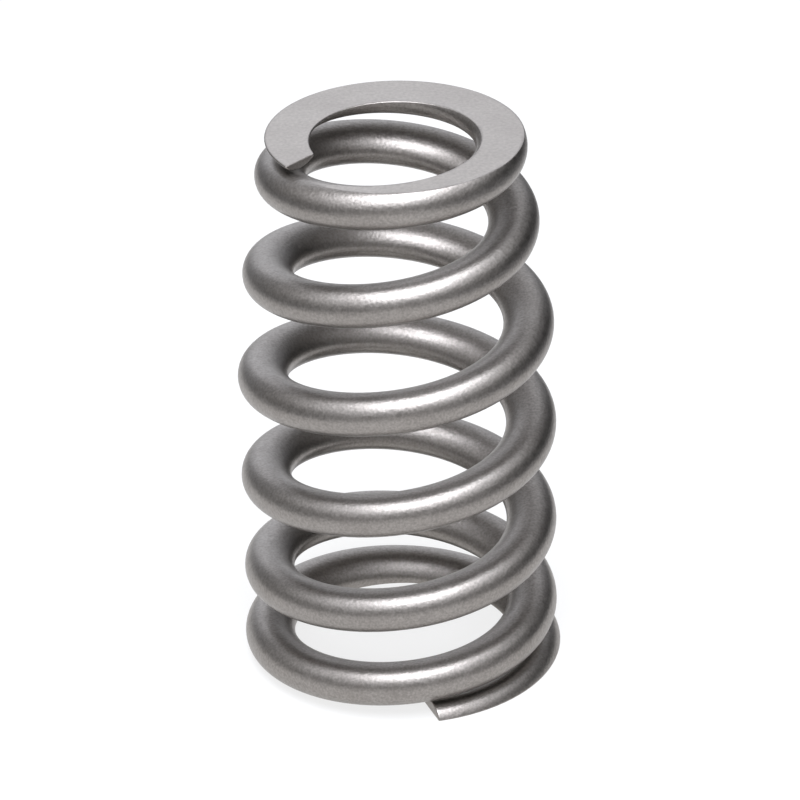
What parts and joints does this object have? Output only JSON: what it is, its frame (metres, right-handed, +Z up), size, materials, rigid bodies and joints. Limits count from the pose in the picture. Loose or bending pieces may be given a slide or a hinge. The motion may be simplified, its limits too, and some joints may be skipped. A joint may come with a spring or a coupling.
{
  "type": "engine valve spring",
  "caption": "Helical compression spring of oval steel wire, drawn in towards the crown, with closed and ground ends that seat under a valve retainer and on a cylinder head.",
  "frame": {"origin": "centre of the ground base face, on the spring's axis", "axes": "+Z up the spring's axis from the base coil to the crown coil, -Y towards the picture's camera"},
  "size_m": [0.0339, 0.0336, 0.06],
  "materials": {
    "spring_steel": "shot peened satin steel wire, with ground end faces"
  },
  "bodies": {
    "root": {"valve_spring": "spring_steel"}
  },
  "joints": []
}
